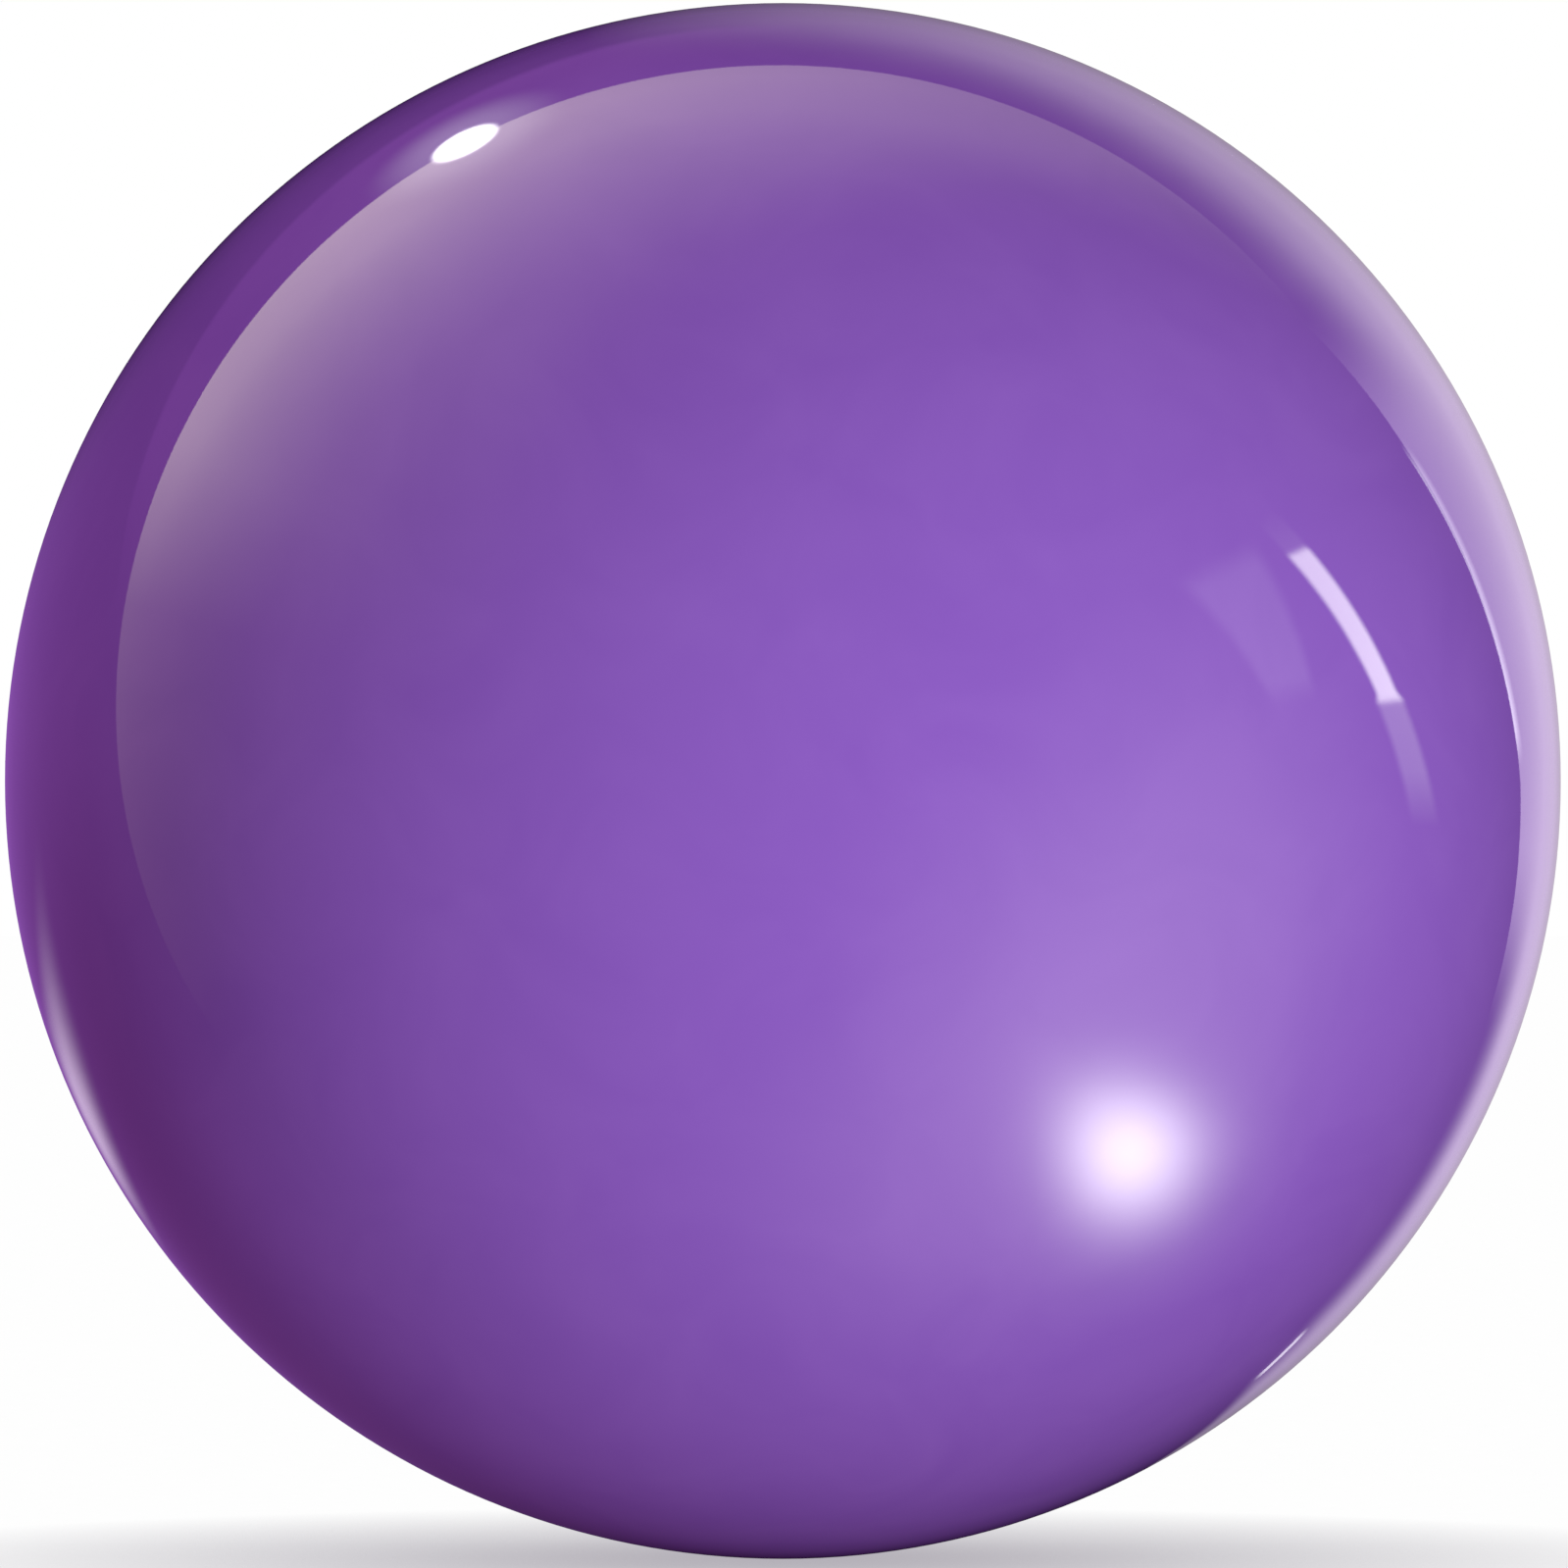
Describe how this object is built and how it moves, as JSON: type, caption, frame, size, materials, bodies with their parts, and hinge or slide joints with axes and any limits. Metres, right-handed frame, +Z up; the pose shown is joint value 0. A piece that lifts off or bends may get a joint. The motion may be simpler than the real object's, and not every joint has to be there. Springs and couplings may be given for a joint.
{
  "type": "bowling ball",
  "caption": "Solid resin bowling ball with a weight block inside, drilled for a fingertip grip, with soft finger inserts and a thumb sleeve that slides out.",
  "frame": {"origin": "the ball's centre", "axes": "+Z up, away from the point that the ball rests on; +Y along the thumb hole's axis, out of its mouth; the finger holes open near +Z"},
  "size_m": [0.2172, 0.2162, 0.2172],
  "materials": {
    "coverstock": "polished",
    "outer_core": "matte",
    "weight_block_bulb": "satin",
    "weight_block_foot": "satin",
    "locating_pin": "polished",
    "centre_mark": "gloss",
    "finger_insert": "satin",
    "thumb_socket": "satin",
    "socket_cushion": "matte",
    "thumb_slug": "gloss",
    "lock_cam": "satin"
  },
  "bodies": {
    "ball": {"coverstock": "coverstock", "outer_core": "outer_core", "weight_block_bulb": "weight_block_bulb", "weight_block_foot": "weight_block_foot", "locating_pin": "locating_pin", "centre_mark": "centre_mark", "middle_finger_insert": "finger_insert", "ring_finger_insert": "finger_insert", "thumb_socket": "thumb_socket", "socket_cushion": "socket_cushion"},
    "slug": {"thumb_slug": "thumb_slug"},
    "cam": {"lock_cam": "lock_cam"}
  },
  "joints": [
    {"name": "slug_slide", "type": "slide", "parent": "ball", "child": "slug", "axis": [0, 1, 0], "range_m": [0, 0.06]},
    {"name": "cam_turn", "type": "hinge", "parent": "ball", "child": "cam", "pos_m": [-0.016, 0.1, 0], "axis": [0, 1, 0], "range_deg": [0, 90]}
  ]
}
